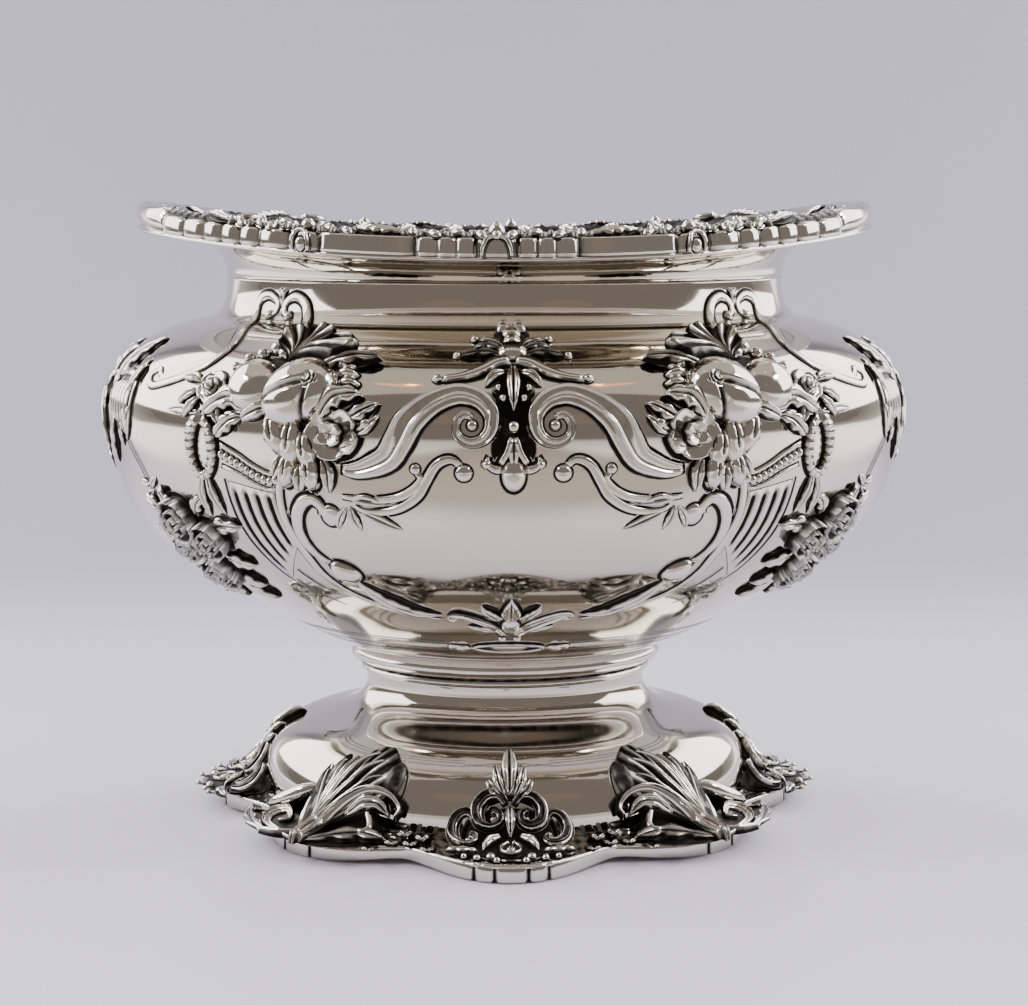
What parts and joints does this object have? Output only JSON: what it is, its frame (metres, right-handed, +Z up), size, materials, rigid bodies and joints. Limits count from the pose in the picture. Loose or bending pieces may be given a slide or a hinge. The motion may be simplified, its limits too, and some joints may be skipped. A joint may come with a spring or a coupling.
{
  "type": "footed sugar bowl",
  "caption": "Oval silver sugar bowl on a lobed domed foot, with a boat-shaped scalloped rim and applied castings of fruit, scrolls, roses and acanthus.",
  "frame": {"origin": "middle of the foot on the table", "axes": "+X along the long way of the oval, +Z up out of the bowl, the front towards -Y"},
  "size_m": [0.138, 0.121, 0.1031],
  "materials": {
    "polished_silver": "mirror-polished sheet silver",
    "cast_silver": "polished cast silver with oxidised recesses"
  },
  "bodies": {
    "root": {"bowl_body": "polished_silver", "rim_flange": "polished_silver", "collar_ring": "polished_silver", "foot_dome": "polished_silver", "foot_rail": "polished_silver", "rim_border": "cast_silver", "foot_skirt": "cast_silver", "fruit_front_left": "cast_silver", "fruit_front_right": "cast_silver", "fruit_back_left": "cast_silver", "fruit_back_right": "cast_silver", "scroll_front_left": "cast_silver", "scroll_front_right": "cast_silver", "scroll_back_left": "cast_silver", "scroll_back_right": "cast_silver", "roses_front_left": "cast_silver", "roses_front_right": "cast_silver", "roses_back_left": "cast_silver", "roses_back_right": "cast_silver", "flutes_front_left": "cast_silver", "flutes_front_right": "cast_silver", "flutes_back_left": "cast_silver", "flutes_back_right": "cast_silver", "pediment_front_left": "cast_silver", "pediment_front_right": "cast_silver", "pediment_back_left": "cast_silver", "pediment_back_right": "cast_silver", "foot_leaf_front_left": "cast_silver", "foot_leaf_front_right": "cast_silver", "foot_leaf_back_left": "cast_silver", "foot_leaf_back_right": "cast_silver", "spray_front": "cast_silver", "spray_back": "cast_silver", "crest_front": "cast_silver", "crest_back": "cast_silver", "pendant_left": "cast_silver", "pendant_right": "cast_silver", "palmette_front": "cast_silver", "palmette_back": "cast_silver", "palmette_left": "cast_silver", "palmette_right": "cast_silver"}
  },
  "joints": []
}
